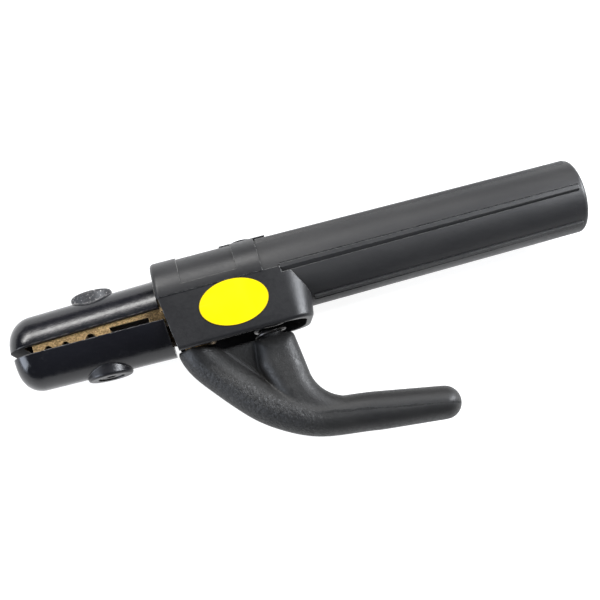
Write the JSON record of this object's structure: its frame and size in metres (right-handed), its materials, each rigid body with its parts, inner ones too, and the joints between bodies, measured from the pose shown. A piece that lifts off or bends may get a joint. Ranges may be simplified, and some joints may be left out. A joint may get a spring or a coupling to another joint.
{
  "type": "electrode holder",
  "caption": "Hand-held welding electrode holder with insulated spring jaws, a squeeze lever under the housing and a round ribbed handle that takes the cable.",
  "frame": {"origin": "centre of the cable entry, in the plane of the handle's rear end", "axes": "+X along the handle and out of the cable entry, +Y away from the squeeze lever, +Z out of the labelled side, so the holder lies on its plain side"},
  "size_m": [0.2497, 0.0962, 0.036],
  "materials": {
    "handle_nylon": "satin black glass-filled nylon",
    "housing_nylon": "satin black glass-filled nylon",
    "lever_nylon": "grained black nylon",
    "jaw_insulator": "moulded black thermoset, semi-gloss, scuffed",
    "label": "printed yellow film",
    "brass": "rough sand-cast brass",
    "copper": "rolled copper",
    "screw_steel": "black-oxide steel",
    "pin_steel": "ground steel",
    "spring_steel": "oiled spring steel"
  },
  "bodies": {
    "holder": {"handle_tube": "handle_nylon", "housing": "housing_nylon", "label": "label", "upper_jaw_insulator": "jaw_insulator", "upper_insulator_screw": "screw_steel", "upper_screw_washer": "screw_steel", "fixed_jaw": "brass", "pivot_pin": "pin_steel", "retaining_rings": "spring_steel", "compression_spring": "spring_steel", "handle_screw": "screw_steel"},
    "lever": {"lever_casting": "brass", "lower_jaw_insulator": "jaw_insulator", "lower_insulator_screw": "screw_steel", "lower_screw_washer": "screw_steel", "lever_cover": "lever_nylon", "lever_cover_screw": "screw_steel"},
    "clamp_plate": {"clamp_plate": "copper"},
    "front_clamp_screw": {"front_clamp_screw": "screw_steel"},
    "rear_clamp_screw": {"rear_clamp_screw": "screw_steel"}
  },
  "joints": [
    {"name": "lever_hinge", "type": "hinge", "parent": "holder", "child": "lever", "pos_m": [-0.172, -0.014, 0], "axis": [0, 0, 1], "range_deg": [0, 14], "stiffness_Nm_per_rad": 6, "springref_deg": -20.05, "deforming": ["compression_spring"]},
    {"name": "clamp_plate_slide", "type": "slide", "parent": "holder", "child": "clamp_plate", "axis": [0, -1, 0], "range_m": [0, 0.004]},
    {"name": "front_clamp_screw_slide", "type": "slide", "parent": "holder", "child": "front_clamp_screw", "axis": [0, -1, 0], "range_m": [0, 0.004]},
    {"name": "rear_clamp_screw_slide", "type": "slide", "parent": "holder", "child": "rear_clamp_screw", "axis": [0, -1, 0], "range_m": [0, 0.004]}
  ],
  "couplings": [
    {"joint": "front_clamp_screw_slide", "follows": "clamp_plate_slide", "ratio": 1},
    {"joint": "rear_clamp_screw_slide", "follows": "clamp_plate_slide", "ratio": 1}
  ]
}
